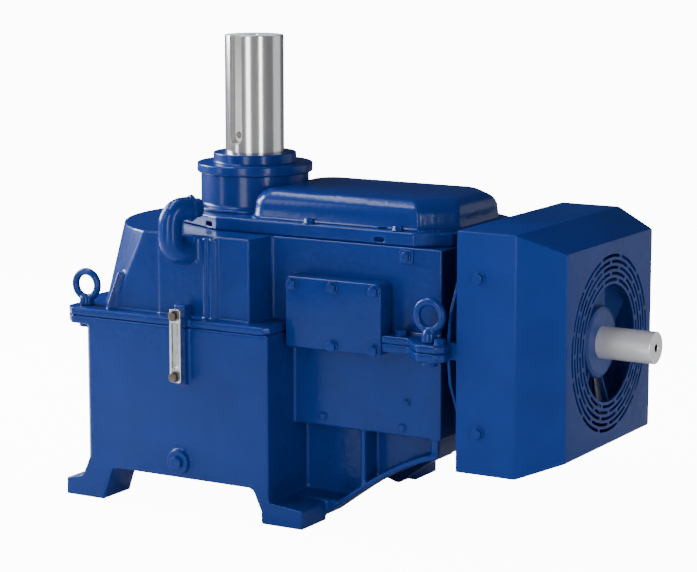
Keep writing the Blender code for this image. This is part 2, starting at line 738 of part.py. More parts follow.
def lay_shaft(root):
    """The intermediate shaft with its pinion cut on it."""
    half_pitch = math.pi / SPUR_PINION_TEETH
    teeth = prism(tooth_outline(SPUR_MODULE, SPUR_PINION_TEETH, half_pitch), 180, 270)
    teeth.transform(Matrix.Translation((LAY_X, 0, 0)))
    low, high = LAY_LOWER_Z + 2, LAY_UPPER_Z + LAY_BEARING[2] + 6
    profile = [(34.7, low), (34.7, 160), (40.7, 161), (40.7, 358), (46, 359), (46, 368), (34.7, 369), (34.7, high)]
    shaft = turned(profile, (LAY_X, 0, 0))
    return steel("intermediate_pinion_shaft", teeth, root, add=[shaft], pivot=(LAY_X, 0, 225))


def bevel_scale(distance_back):
    """Size of the bevel teeth that far down the cone, compared with the large end."""
    cone_distance = BEVEL_MODULE * math.hypot(BEVEL_GEAR_TEETH, BEVEL_PINION_TEETH) / 2
    return (cone_distance - distance_back) / cone_distance


def bevel_teeth(teeth, partner_teeth, phase):
    """Teeth that taper towards the shared apex, built with the apex at the origin and the axis along +Z."""
    depth = BEVEL_MODULE * partner_teeth / 2
    lean = math.hypot(teeth, partner_teeth) / partner_teeth
    rings = []
    for scale, behind in ((bevel_scale(BEVEL_FACE), 0.0), (1.0, 0.0), (1.0, BEVEL_BACK)):
        outline = tooth_outline(BEVEL_MODULE, teeth, phase, scale, lean)
        rings.append([(x, y, depth * scale + behind) for x, y in outline])
    return loft(rings)


def bevel_gear(root):
    teeth = bevel_teeth(BEVEL_GEAR_TEETH, BEVEL_PINION_TEETH, 0.0)
    teeth.transform(Matrix.Rotation(math.pi, 4, "X"))
    teeth.transform(Matrix.Translation((LAY_X, 0, INPUT_Z)))
    body = turned([(80, 296), (110, 312), (114, INPUT_Z - 47)], (LAY_X, 0, 0))
    bore = upright(41, LAY_X, 250, 420)
    return steel("bevel_gear", teeth, root, add=[body], cut=[bore], pivot=(LAY_X, 0, 320))


def input_shaft(root):
    """The input shaft with its bevel pinion cut on it."""
    half_pitch = math.pi / BEVEL_PINION_TEETH
    teeth = bevel_teeth(BEVEL_PINION_TEETH, BEVEL_GEAR_TEETH, half_pitch)
    turn = Matrix(((0, 0, 1, 0), (0, 1, 0, 0), (-1, 0, 0, 0), (0, 0, 0, 1)))
    teeth.transform(Matrix.Translation((LAY_X, 0, INPUT_Z)) @ turn)
    back = LAY_X + BEVEL_MODULE * BEVEL_GEAR_TEETH / 2
    end_r = INPUT_R - 2
    profile = [(30, back - 20), (38, back), (38, back + 22), (44, back + 23), (44, INPUT_FRONT_X - 1)]
    profile += [(39.7, INPUT_FRONT_X)]
    profile += [(39.7, 560), (36, 562), (36, 640), (INPUT_R, 642), (INPUT_R, INPUT_END - 2), (end_r, INPUT_END)]
    shaft = turned(profile, (0, 0, INPUT_Z), "X")
    centre_hole = turned([(7, INPUT_END - 20), (7, INPUT_END + 10)], (0, 0, INPUT_Z), "X")
    slot = box((846, -9, INPUT_Z - INPUT_R - 10), (922, 9, INPUT_Z - INPUT_R + 7))
    cuts = [centre_hole, slot]
    return steel("input_pinion_shaft", teeth, root, add=[shaft], cut=cuts, pivot=(600, 0, INPUT_Z))


# Bearings and seals


def bearing(name, size, low, centre, axis, root):
    """Outer race with the casing, and inner race with its rollers as one ring with the shaft."""
    inner, outer, width = size
    middle = (inner + outer) / 2
    high = low + width - 2 * GAP
    race = ring(middle + RACE_GAP, outer, low, high, centre, axis)
    rollers = ring(inner, middle + RACE_GAP - 1.5, low, high, centre, axis)
    steel(f"{name}_outer_race", race, root)
    steel(f"{name}_roller_set", rollers, root)


def bearings(root):
    lay = (LAY_X, 0, 0)
    spindle = (0, 0, INPUT_Z)
    bearing("output_upper_bearing", OUTPUT_BEARING, OUTPUT_UPPER_Z, (0, 0, 0), "Z", root)
    bearing("output_lower_bearing", OUTPUT_LOWER_BEARING, OUTPUT_LOWER_Z, (0, 0, 0), "Z", root)
    bearing("intermediate_upper_bearing", LAY_BEARING, LAY_UPPER_Z, lay, "Z", root)
    bearing("intermediate_lower_bearing", LAY_BEARING, LAY_LOWER_Z, lay, "Z", root)
    bearing("input_inner_bearing", INPUT_BEARING, INPUT_FRONT_X, spindle, "X", root)
    bearing("input_outer_bearing", INPUT_BEARING, INPUT_REAR_X, spindle, "X", root)


def output_seal(root):
    lip = OUTPUT_R / math.cos(math.pi / SEGMENTS) + GAP
    seal = ring(lip, SEAL_BORE, COVER_FLANGE_TOP + 3, COVER_TOP - 2, (0, 0, 0))
    return piece("output_shaft_seal", seal, root, RUBBER, 0.6)


# Fittings


def eyebolt(name, place, neck_height, root):
    x, y = place
    base = FLANGE_TOP + GAP
    ring_r, wire_r = 28.0, 8.0
    centre_z = base + neck_height + ring_r + wire_r
    turns = [2 * math.pi * i / 16 for i in range(16)]
    path = [(x + ring_r * math.cos(t), y, centre_z + ring_r * math.sin(t)) for t in turns]
    shoulder = base + neck_height
    neck = turned([(16, base), (15.5, shoulder - 1), (11, shoulder + 6)], (x, y, 0))
    return piece(name, sweep(path, wire_r, 6, closed=True), root, add=[neck])


def bolt(name, place, axis, root, across=19.0, height=10.0, colour=BLUE):
    """A hexagon head that faces along the axis given as a unit vector."""
    mesh = prism(hexagon(across), 0.0, height)
    turn = Vector((0, 0, 1)).rotation_difference(Vector(axis)).to_matrix().to_4x4()
    placed = Matrix.Translation(Vector(place) + Vector(axis) * GAP) @ turn
    mesh.transform(placed)
    return piece(name, mesh, root, colour)


def flange_bolt(name, x, y, root, across=24.0):
    return bolt(name, (x, y, FLANGE_TOP), (0, 0, 1), root, across, 12.0)


def bolts(root):
    front = -COVER_FRONT
    for row, z in (("upper", COVER_Z[1] - 15.0), ("lower", COVER_Z[0] + 11.5)):
        for column, x in COVER_BOLT_COLUMNS[row]:
            bolt(f"side_cover_bolt_{row}_{column}", (x, front, z), (0, -1, 0), root)
    for side, y in (("front", -164.0), ("rear", 164.0)):
        bolt(f"inspection_cover_bolt_{side}_left", (235.0, y, PLATE_TOP), (0, 0, 1), root)
        bolt(f"inspection_cover_bolt_{side}_right", (441.0, y, PLATE_TOP), (0, 0, 1), root)
    for side, sign in (("front", -1), ("rear", 1)):
        flange_bolt(f"flange_bolt_{side}", 478.0, sign * 211.0, root)
        flange_bolt(f"lug_bolt_{side}", 590.0, sign * 263.0, root, 19.0)
        for row, z in (("upper", 541.0), ("lower", 235.0)):
            place = (662.0, sign * COWL_HALF, z)
            bolt(f"cowl_bolt_{side}_{row}", place, (0, sign, 0), root)


def gauge(root):
    back = 27 - GAUGE_FRONT - GAP
    low, high = GAUGE_Z
    width = 13.5
    body = box((GAUGE_X - width, GAUGE_BAR - GAUGE_FRONT, low), (GAUGE_X + width, back, high))
    slot = box((GAUGE_X - 10, -GAUGE_FRONT - 10, low + 25), (GAUGE_X + 10, back - 5, high - 25))
    steel("oil_gauge_frame", body, root, cut=[slot])
    tube = upright(8.5, 0, low + 25.5, high - 25.5)
    tube.transform(Matrix.Translation((GAUGE_X, back - 14, 0)))
    piece("oil_gauge_tube", tube, root, CLEAR, 0.08)
    for name, z in zip(("lower", "upper"), GAUGE_BOLT_Z):
        place = (GAUGE_X, GAUGE_BAR - GAUGE_FRONT, z)
        bolt(f"oil_gauge_bolt_{name}", place, (0, -1, 0), root, 17.0, GAUGE_BOLT_HEAD, DARK_STEEL)


def breather_path():
    """A bracket-shaped pipe in its own plane: out from the vent, down, and back to the front wall."""
    turns = [math.pi / 2 * i / 6 for i in range(7)]
    top, low, bend = PIPE_TOP_Z, PIPE_LOW_Z, PIPE_BEND
    upper = [(0, bend - bend * math.sin(t), top - bend + bend * math.cos(t)) for t in turns]
    lower = [(0, bend - bend * math.cos(t), low + bend - bend * math.sin(t)) for t in turns]
    return [(0, PIPE_REACH, top), *upper, *lower, (0, bend + 22, low)]


def pipe_place():
    return Matrix.Translation((PIPE_X, PIPE_Y, 0)) @ Matrix.Rotation(PIPE_TURN, 4, "Z")


def breather(root):
    wall = box((-60, -UPPER_Y - 6, PIPE_LOW_Z - 40), (60, -UPPER_Y + 60, ROOF_Z - 4))
    pipe = sweep(breather_path(), PIPE_R, 12)
    pipe.transform(pipe_place())
    piece("breather_pipe", pipe, root, cut=[wall])
    nut = prism(circle(NUT_R, 6, math.pi / 6, (0, PIPE_TOP_Z)), PIPE_REACH + GAP, NUT_END, "Y")
    vent = turned([(VENT_R, NUT_END - 2), (VENT_R, VENT_END - 3), (VENT_R - 3, VENT_END)], (0, 0, PIPE_TOP_Z), "Y")
    for mesh in (nut, vent):
        mesh.transform(pipe_place())
    piece("breather_union", nut, root, add=[vent])


def drain_plug(root):
    face = 9 - FRONT_Y - 14.0 - 4
    mesh = prism(circle(14.5, 6, 0.2, (-5.0, 107.0)), face - 15, face - GAP, "Y")
    return piece("drain_plug", mesh, root)


def build():
    clear_scene()
    root = make_root()
    makers = (
        lower_casing,
        upper_casing,
        top_cover_plate,
        inspection_cover,
        output_tower,
        output_seal_cover,
        side_cover,
        input_bearing_cover,
        air_guide_plate,
        fan_cowl,
        cooling_fan,
        output_gear,
        output_shaft,
        lay_shaft,
        bevel_gear,
        input_shaft,
        bearings,
        output_seal,
        bolts,
        gauge,
        breather,
        drain_plug,
    )
    for make in makers:
        make(root)
    for side, sign in (("front", -1), ("rear", 1)):
        cowl_bracket(f"cowl_bracket_{side}", sign, root)
        for end, place in (("left", EYEBOLT_LEFT), ("right", EYEBOLT_RIGHT)):
            neck_height = EYEBOLT_NECKS[end]
            eyebolt(f"lifting_eyebolt_{side}_{end}", (place[0], -sign * place[1]), neck_height, root)


build()
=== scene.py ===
"""The looks of the right-angle gearbox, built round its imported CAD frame.

Shapes are in millimetres from the output shaft's axis at the floor. Each mesh is scaled to metres
and moved onto that axis when it is stored.
"""

import math

import bmesh
import bpy
from mathutils import Matrix, Vector


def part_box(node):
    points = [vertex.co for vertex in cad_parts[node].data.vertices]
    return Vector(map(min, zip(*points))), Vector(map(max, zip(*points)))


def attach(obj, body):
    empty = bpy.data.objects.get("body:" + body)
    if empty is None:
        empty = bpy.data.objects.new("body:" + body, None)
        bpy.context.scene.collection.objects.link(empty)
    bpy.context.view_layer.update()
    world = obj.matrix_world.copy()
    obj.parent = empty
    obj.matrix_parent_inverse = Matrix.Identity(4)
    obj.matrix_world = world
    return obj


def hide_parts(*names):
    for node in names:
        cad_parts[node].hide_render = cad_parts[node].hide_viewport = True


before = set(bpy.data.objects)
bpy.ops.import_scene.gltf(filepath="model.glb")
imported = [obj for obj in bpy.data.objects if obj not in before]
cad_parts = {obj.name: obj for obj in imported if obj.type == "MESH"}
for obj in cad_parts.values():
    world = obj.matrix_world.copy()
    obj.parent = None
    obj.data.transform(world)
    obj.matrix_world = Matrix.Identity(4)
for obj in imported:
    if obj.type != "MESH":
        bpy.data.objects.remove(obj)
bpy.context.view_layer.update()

MM = 0.001
LOW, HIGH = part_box("output_shaft")
AXIS = Vector(((LOW[0] + HIGH[0]) / 2, (LOW[1] + HIGH[1]) / 2, 0.0))
TO_FRAME = Matrix.Translation(AXIS) @ Matrix.Scale(MM, 4)

# Heights, axes and fits shared by several pieces
SIDES = (("front", -1), ("rear", 1))
PLATE_TOP = 607.0
FLANGE_TOP = 407.0
INPUT_Z = 390.6
INPUT_AXIS = (0, 0, INPUT_Z)
GAP = 0.3
FACED_DEPTH = 0.3
CAST_GRID = 2.6
EYE_GRID = 1.3

# Output end
OUTPUT_R = 62.5
OUTPUT_TOP = 973.0
KEY_ANGLE = math.radians(-98)
KEY_WIDTH = 32.0
KEY_DEPTH = 11.0
KEY_LOW = 760.0
TOWER_R = 115.0
TOWER_TOP = 684.0
COVER_FLANGE_R = 123.0
COVER_FLANGE_TOP = 703.5
COVER_COLLAR_R = 88.3
COVER_TOP = 725.0

# Input end
INPUT_R = 32.5
INPUT_END = 930.5
COWL_REAR = 613.4
COWL_BEND = 740.2
COWL_FRONT = 830.9
COWL_HALF_Y = 238.5
COWL_HALF_Z = 239.5
COWL_FACE_Y = 201.0
COWL_FACE_Z = 204.5
COWL_WALL = 3.0
COWL_CUT = (COWL_FRONT - 20, COWL_FRONT + 20)
EYE_HOLE_R = 118.0
SLOT_RINGS = (127.0, 139.0, 151.0, 163.0, 175.0)
SLOT_WIDTH = 6.4
SLOT_LAND = 14.0
SLOTS_PER_RING = 12
FAN_X = 790.0
FAN_BLADES = 7
BLADE_ROOT = 66
BLADE_LENGTH = 122

# Covers and fittings
DOME_TOP = 667.0
COVER_X = (219.0, 441.0)
COVER_Z = (363.0, 508.0)
COVER_BACK = 185.3
COVER_FRONT = 233.0
COVER_BOLTS = ((236, 493), (330, 493), (426, 493), (330, 374.5), (426, 374.5))
GAUGE_X = 7.0
GAUGE_Z = (280.0, 432.0)
GAUGE_BOLT_Z = (292.5, 419.5)
GAUGE_FACE = 319.0
GAUGE_BACK = 300.3
WASHER = 2.2
BOX_FACE = 185.0
BOX_PLUGS = ((474, 265), (465, 213), (281, 216))
PAD_FACE = 188.0
DRAIN_X = -5.0
DRAIN_Z = 107.0

# Bolts through the split line: kind, X, Y and size across the flats
SPLIT_BOLTS = (("flange_bolt", 478.0, 211.0, 24.0), ("lug_bolt", 590.0, 263.0, 19.0))

# Lifting eyes: end, X, Y, height of the neck and radius of its waist
EYEBOLTS = (("left", -267.0, 246.0, 7.0, 14.5), ("right", 560.0, 250.0, 17.0, 8.0))

# Colours, linear
BLUE = (0.003, 0.023, 0.166)
# Lighter and more lilac than BLUE: painted light, standing in for the lit look of the fan blades
LIT_FAN_BLUE = (0.016, 0.04, 0.2)
GROUND_STEEL = (0.76, 0.745, 0.725)
PALE_STEEL = (0.95, 0.935, 0.915)
COLD_SHEEN = (0.62, 0.72, 1.0, 1.0)
WHITE = (1.0, 1.0, 1.0)

# Studio
FLOOR_SIZE = 240.0
BACKDROP = 12.0
LIGHT_AIM = (0.0, 0.0, 0.55)

# Lights: name, azimuth, elevation, distance, width, height, radiance and colour
SOFTBOXES = (
    ("strip_left_of_camera", -87, 10, 3.2, 0.8, 2.4, 6.6, WHITE),
    ("strip_right_of_camera", -36, 10, 3.2, 0.5, 2.4, 9.5, WHITE),
    ("high_strip", -130, 22, 3.2, 0.5, 1.3, 5.5, WHITE),
    ("low_strip", -136, -1, 3.2, 0.5, 0.5, 4.5, WHITE),
    ("left_wall", -176, 19.5, 3.0, 1.4, 1.6, 27.0, (0.82, 0.88, 1.0)),
    ("right_wall", 45, 8, 3.4, 2.8, 2.4, 0.8, (0.88, 0.93, 1.0)),
    ("overhead", -165, 59, 3.17, 3.0, 0.5, 13.5, (0.86, 0.9, 1.0)),
)

# Camera, from the output shaft's axis
CAMERA_PLACE = (2761.4, -4316.8, 1308.9)
CAMERA_WAY = (-0.4985, 0.8504, -0.1685)
LENS = 124.86


# Mesh tools. Each returns a bmesh in millimetres.


def close_up(mesh):
    bmesh.ops.remove_doubles(mesh, verts=mesh.verts, dist=1e-4)
    bmesh.ops.recalc_face_normals(mesh, faces=mesh.faces)
    return mesh


def loft(rings, capped=True):
    mesh = bmesh.new()
    loops = [[mesh.verts.new(point) for point in ring] for ring in rings]
    if not capped:
        loops.append(loops[0])
    for below, above in zip(loops, loops[1:]):
        count = len(below)
        for i in range(count):
            j = (i + 1) % count
            mesh.faces.new((below[i], below[j], above[j], above[i]))
    if capped:
        mesh.faces.new(list(reversed(loops[0])))
        mesh.faces.new(loops[-1])
    return close_up(mesh)


def turn_to(axis):
    """The matrix that turns a shape built along +Z to lie along the named axis."""
    if axis == "X":
        return Matrix(((0, 0, 1, 0), (1, 0, 0, 0), (0, 1, 0, 0), (0, 0, 0, 1)))
    if axis == "Y":
        return Matrix(((1, 0, 0, 0), (0, 0, 1, 0), (0, -1, 0, 0), (0, 0, 0, 1)))
    return Matrix.Identity(4)


def circle(radius, segments, start=0.0):
    turns = [start + 2 * math.pi * i / segments for i in range(segments)]
    return [(radius * math.cos(t), radius * math.sin(t)) for t in turns]


def eased(points, size, steps=4, closed=True):
    """The outline with its corners rounded. Size is how far from a corner its curve starts."""
    count = len(points)
    sizes = size if isinstance(size, (list, tuple)) else [size] * count
    result = []
    for i, point in enumerate(points):
        if not closed and i in (0, count - 1):
            result.append(tuple(point))
            continue
        corner = Vector(point)
        before = Vector(points[i - 1]) - corner
        after = Vector(points[(i + 1) % count]) - corner
        reach = min(sizes[i], before.length * 0.49, after.length * 0.49)
        start = corner + before.normalized() * reach
        end = corner + after.normalized() * reach
        for k in range(steps + 1):
            t = k / steps
            bent = start * (1 - t) ** 2 + corner * 2 * t * (1 - t) + end * t**2
            result.append(tuple(bent))
    return result


def half_turn(steps):
    """The angles of half a turn, without its two ends."""
    return [math.pi * k / steps for k in range(1, steps)]


def rectangle(x0, y0, x1, y1):
    return ((x0, y0), (x1, y0), (x1, y1), (x0, y1))


def prism(outline, low, high, axis="Z"):
    """An outline extruded. It holds (x, y) for Z, (x, z) for Y and (y, z) for X."""
    place = {
        "Z": lambda a, b, c: (a, b, c),
        "Y": lambda a, b, c: (a, c, b),
        "X": lambda a, b, c: (c, a, b),
    }[axis]
    return loft([[place(a, b, c) for a, b in outline] for c in (low, high)])


def block(low, high):
    (x0, y0, z0), (x1, y1, z1) = low, high
    return prism(rectangle(x0, y0, x1, y1), z0, z1)


def turned(profile, centre=(0, 0, 0), axis="Z", segments=96):
    rings = [[(x, y, h) for x, y in circle(r, segments)] for r, h in profile]
    mesh = loft(rings)
    mesh.transform(Matrix.Translation(Vector(centre)) @ turn_to(axis))
    return close_up(mesh)


def tube_along(path, radius, segments=28, closed=False):
    """A round tube along a path that lies in one plane with normal X or Y."""
    points = [Vector(p) for p in path]
    count = len(points)
    in_x = all(abs(p.x - points[0].x) < 1e-6 for p in points)
    side = Vector((1, 0, 0)) if in_x else Vector((0, 1, 0))
    rings = []
    for i, point in enumerate(points):
        before = points[i - 1] if i or closed else point
        after = points[(i + 1) % count] if i < count - 1 or closed else point
        other = (after - before).normalized().cross(side).normalized()
        turns = [2 * math.pi * k / segments for k in range(segments)]
        rings.append([point + radius * (math.cos(t) * side + math.sin(t) * other) for t in turns])
    return loft(rings, capped=not closed)


def joined(meshes):
    """Several bmeshes in one, each still a closed body of its own."""
    whole = bmesh.new()
    for mesh in meshes:
        data = bpy.data.meshes.new("part")
        mesh.to_mesh(data)
        mesh.free()
        whole.from_mesh(data)
        bpy.data.meshes.remove(data)
    return whole


# Objects


def store(name, mesh):
    """The mesh as an object in the frame's own place and scale."""
    mesh.transform(TO_FRAME)
    data = bpy.data.meshes.new(name)
    mesh.to_mesh(data)
    mesh.free()
    obj = bpy.data.objects.new(name, data)
    bpy.context.scene.collection.objects.link(obj)
    return obj


def settle(obj):
    """Replaces the object's mesh by what its modifiers make of it."""
    graph = bpy.context.evaluated_depsgraph_get()
    made = bpy.data.meshes.new_from_object(obj.evaluated_get(graph))
    obj.modifiers.clear()
    old = obj.data
    obj.data = made
    bpy.data.meshes.remove(old)


def combine(obj, operation, meshes):
    """Joins meshes to the object, or cuts them from it."""
    for mesh in meshes:
        tool = store("tool", mesh)
        modifier = obj.modifiers.new(operation, "BOOLEAN")
        modifier.operation = operation
        modifier.object = tool
        modifier.solver = "EXACT"
        settle(obj)
        bpy.data.objects.remove(tool)


def soften(obj, width, segments, angle):
    """Rounds the edges that are sharper than the angle, in degrees."""
    modifier = obj.modifiers.new("edges", "BEVEL")
    modifier.width = width * MM
    modifier.segments = segments
    modifier.limit_method = "ANGLE"
    modifier.angle_limit = math.radians(angle)
    modifier.use_clamp_overlap = True
    settle(obj)


def finish_piece(obj, body, material, nodes=(), sharp=35.0):
    obj.data.shade_smooth()
    obj.data.set_sharp_from_angle(angle=math.radians(sharp))
    obj.data.materials.clear()
    obj.data.materials.append(material)
    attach(obj, body)
    if nodes:
        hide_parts(*nodes)
    return obj


def even_shading(obj):
    """Lets the large flat faces set the shading of the small rounded ones beside them."""
    weighted = obj.modifiers.new("shading", "WEIGHTED_NORMAL")
    weighted.keep_sharp = True
    weighted.weight = 80


def copy_of(name, node):
    """A copy of a CAD node's solid, welded so that it can be cut."""
    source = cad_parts[node]
    obj = bpy.data.objects.new(name, source.data.copy())
    obj.data.transform(source.matrix_world)
    bpy.context.scene.collection.objects.link(obj)
    mesh = bmesh.new()
    mesh.from_mesh(obj.data)
    bmesh.ops.remove_doubles(mesh, verts=mesh.verts, dist=1e-6)
    mesh.to_mesh(obj.data)
    mesh.free()
    return obj


def round_all(obj, grid, rounds):
    """Rounds every edge and corner as a foundry would leave it."""
    remesh = obj.modifiers.new("grid", "REMESH")
    remesh.mode = "VOXEL"
    remesh.voxel_size = grid * MM
    smooth = obj.modifiers.new("smooth", "SMOOTH")
    smooth.factor = 0.5
    smooth.iterations = rounds
    settle(obj)


def cast_copy(name, node, cuts=(), grid=CAST_GRID):
    """A casting, made from its CAD solid."""
    obj = copy_of(name, node)
    combine(obj, "DIFFERENCE", cuts)
    round_all(obj, grid, 3)
    return obj


# Materials


def node(tree, kind, **values):
    made = tree.nodes.new(kind)
    for key, value in values.items():
        if key in made.inputs:
            made.inputs[key].default_value = value
        else:
            setattr(made, key, value)
    return made


def shader_of(name):
    material = bpy.data.materials.new(name)
    material.use_nodes = True
    tree = material.node_tree
    place = node(tree, "ShaderNodeTexCoord").outputs["Object"]
    return material, tree, tree.nodes["Principled BSDF"], place


def noise(tree, place, scale, detail=3.0):
    made = node(tree, "ShaderNodeTexNoise", Scale=scale, Detail=detail, Roughness=0.5)
    tree.links.new(place, made.inputs["Vector"])
    return made.outputs["Fac"]


def ramp(tree, value, stops):
    made = node(tree, "ShaderNodeValToRGB")
    elements = made.color_ramp.elements
    for element, (position, colour) in zip(elements, stops):
        element.position = position
        element.color = (*colour, 1.0)
    tree.links.new(value, made.inputs["Fac"])
    return made.outputs["Color"]


def spread(tree, value, low, high, start=0.0, stop=1.0):
    """The value carried from between start and stop to between low and high."""
    made = node(tree, "ShaderNodeMapRange")
    made.inputs["From Min"].default_value = start
    made.inputs["From Max"].default_value = stop
    made.inputs["To Min"].default_value = low
    made.inputs["To Max"].default_value = high
    tree.links.new(value, made.inputs["Value"])
    return made.outputs["Result"]


def bumps(tree, heights):
    """A chain of Bump nodes from (height output, depth in mm) pairs."""
    normal = None
    for height, depth in heights:
        bump = node(tree, "ShaderNodeBump", Strength=1.0, Distance=depth * MM)
        tree.links.new(height, bump.inputs["Height"])
        if normal is not None:
            tree.links.new(normal, bump.inputs["Normal"])
        normal = bump.outputs["Normal"]
    return normal


def tinted(colour, factor):
    return tuple(channel * factor for channel in colour)


def enamel(
    name, colour, peel=0.1, grain=0.6, gloss=0.32, specular=0.15, coat=0.32, coat_rough=0.14
):
    """Enamel. Peel is the paint's orange peel, grain the unevenness of the metal under it."""
    material, tree, shader, place = shader_of(name)
    cloud = noise(tree, place, 9.0, 4.0)
    shades = ((0.3, tinted(colour, 0.88)), (0.7, tinted(colour, 1.1)))
    tree.links.new(ramp(tree, cloud, shades), shader.inputs["Base Color"])
    dull = spread(tree, noise(tree, place, 60.0), gloss - 0.05, gloss + 0.08)
    tree.links.new(dull, shader.inputs["Roughness"])
    shader.inputs["Specular IOR Level"].default_value = specular
    shader.inputs["Specular Tint"].default_value = COLD_SHEEN
    shader.inputs["Coat Weight"].default_value = coat
    shader.inputs["Coat Roughness"].default_value = coat_rough
    heights = [(noise(tree, place, 380.0, 2.0), peel), (noise(tree, place, 75.0, 3.0), grain)]
    uneven = bumps(tree, heights)
    tree.links.new(uneven, shader.inputs["Normal"])
    tree.links.new(uneven, shader.inputs["Coat Normal"])
    return material


def above(tree, place, axis, level):
    """One past the given height along an axis, and nothing before it."""
    split = node(tree, "ShaderNodeSeparateXYZ")
    tree.links.new(place, split.inputs["Vector"])
    step = node(tree, "ShaderNodeMath", operation="GREATER_THAN")
    step.inputs[1].default_value = level
    tree.links.new(split.outputs[axis], step.inputs[0])
    return step.outputs["Value"]


def blend(tree, factor, low, high):
    """Low where the factor is nothing and high where it is one. Each is a number or an output."""
    mix = node(tree, "ShaderNodeMix", data_type="FLOAT")
    tree.links.new(factor, mix.inputs["Factor"])
    for socket, value in (("A", low), ("B", high)):
        if isinstance(value, float):
            mix.inputs[socket].default_value = value
        else:
            tree.links.new(value, mix.inputs[socket])
    return mix.outputs["Result"]


def bright_steel(name, colour, rough, axis, end, metallic):
    """Turned or ground steel, with fine marks round the given axis and a dull faced end."""
    material, tree, shader, place = shader_of(name)
    stretch = {"Z": (30.0, 30.0, 2400.0), "X": (2400.0, 30.0, 30.0)}[axis]
    mapping = node(tree, "ShaderNodeMapping", Scale=stretch)
    tree.links.new(place, mapping.inputs["Vector"])
    marks = noise(tree, mapping.outputs["Vector"], 1.0, 2.0)
    faced = above(tree, place, axis, end)
    ground = spread(tree, marks, rough * 0.8, rough * 1.3)
    tree.links.new(blend(tree, faced, ground, 0.55), shader.inputs["Roughness"])
    cloud = noise(tree, place, 25.0)
    shades = ((0.3, tinted(colour, 0.94)), (0.7, colour))
    tree.links.new(ramp(tree, cloud, shades), shader.inputs["Base Color"])
    tree.links.new(blend(tree, faced, metallic, 0.3), shader.inputs["Metallic"])
    tree.links.new(bumps(tree, [(marks, 0.004)]), shader.inputs["Normal"])
    return material


def plain_metal(name, colour, rough, metallic=1.0):
    material, tree, shader, place = shader_of(name)
    cloud = noise(tree, place, 80.0)
    shades = ((0.3, tinted(colour, 0.8)), (0.7, tinted(colour, 1.1)))
    tree.links.new(ramp(tree, cloud, shades), shader.inputs["Base Color"])
    tree.links.new(spread(tree, cloud, rough - 0.06, rough + 0.06), shader.inputs["Roughness"])
    shader.inputs["Metallic"].default_value = metallic
    tree.links.new(bumps(tree, [(noise(tree, place, 500.0), 0.02)]), shader.inputs["Normal"])
    return material


def clear_tube(name):
    material, tree, shader, place = shader_of(name)
    shader.inputs["Base Color"].default_value = (0.85, 0.9, 0.9, 1.0)
    shader.inputs["Transmission Weight"].default_value = 0.9
    shader.inputs["IOR"].default_value = 1.45
    tree.links.new(spread(tree, noise(tree, place, 200.0), 0.03, 0.08), shader.inputs["Roughness"])
    return material


def pale_floor(name):
    """A pale matt floor. Its glow keeps it nearly white without lighting the paint from below."""
    material, tree, shader, place = shader_of(name)
    shades = ((0.3, (0.72, 0.725, 0.735)), (0.7, (0.74, 0.745, 0.75)))
    tree.links.new(ramp(tree, noise(tree, place, 3.0), shades), shader.inputs["Base Color"])
    shader.inputs["Roughness"].default_value = 1.0
    shader.inputs["Specular IOR Level"].default_value = 0.0
    shader.inputs["Emission Color"].default_value = (*WHITE, 1.0)
    path = node(tree, "ShaderNodeLightPath")
    glow = spread(tree, path.outputs["Is Camera Ray"], 0.0, BACKDROP)
    tree.links.new(glow, shader.inputs["Emission Strength"])
    return material


CAST = enamel("cast_enamel", BLUE)
SMOOTH_CAST = enamel("turned_enamel", BLUE, peel=0.05, grain=0.22)
SHEET = enamel(
    "sheet_enamel", tinted(BLUE, 1.1), peel=0.03, grain=0.06, gloss=0.36, specular=0.26, coat=0.02
)
# The fan's enamel is lighter than the casting's: painted light for the lit blades behind the grille
FAN = enamel("fan_enamel_painted_light", LIT_FAN_BLUE, gloss=0.45, specular=0.6, coat=0.08, coat_rough=0.2)
OUTPUT_FACE = AXIS.z + (OUTPUT_TOP - FACED_DEPTH) * MM
INPUT_FACE = AXIS.x + (INPUT_END - FACED_DEPTH) * MM
OUTPUT_STEEL = bright_steel("output_shaft_steel", GROUND_STEEL, 0.17, "Z", OUTPUT_FACE, 0.85)
INPUT_STEEL = bright_steel("input_shaft_steel", PALE_STEEL, 0.2, "X", INPUT_FACE, 0.42)
GEAR_STEEL = plain_metal("gear_steel", (0.42, 0.42, 0.43), 0.3)
BEARING_STEEL = plain_metal("bearing_steel", (0.6, 0.6, 0.61), 0.22)
GAUGE_METAL = plain_metal("gauge_metal", (0.74, 0.73, 0.71), 0.24)
DARK_BOLT = plain_metal("dark_bolt", (0.16, 0.14, 0.11), 0.4)
# Near-black steel for the linings of the shaft-end holes: painted shade standing in for the dark
# inside of the holes
BORE_SHADE = plain_metal("painted_bore_shade", (0.03, 0.03, 0.032), 0.6)
RUBBER = plain_metal("seal_rubber", (0.015, 0.015, 0.016), 0.6, metallic=0.0)
GLASS = clear_tube("gauge_glass")


# Castings


def plate_slot(x, y, angle):
    """A small milled slot low in the top plate's edge."""
    half = 12.0
    outline = eased(rectangle(-half, -4, half, 4), 3.5)
    mesh = prism(outline, -14, 14, "Y")
    mesh.transform(Matrix.Translation((x, y, 588.0)) @ Matrix.Rotation(angle, 4, "Z"))
    return mesh


def castings():
    lower = cast_copy("lower_casing_cast", "lower_casing")
    finish_piece(lower, "housing", CAST, ["lower_casing"], 60)
    upper = cast_copy("upper_casing_cast", "upper_casing")
    finish_piece(upper, "housing", CAST, ["upper_casing"], 60)
    slots = [plate_slot(405, -178, 0.0), plate_slot(-9, -165.3, math.radians(-26.2))]
    plate = cast_copy("top_plate_cast", "top_cover_plate", cuts=slots, grid=2.2)
    finish_piece(plate, "housing", CAST, ["top_cover_plate"], 60)


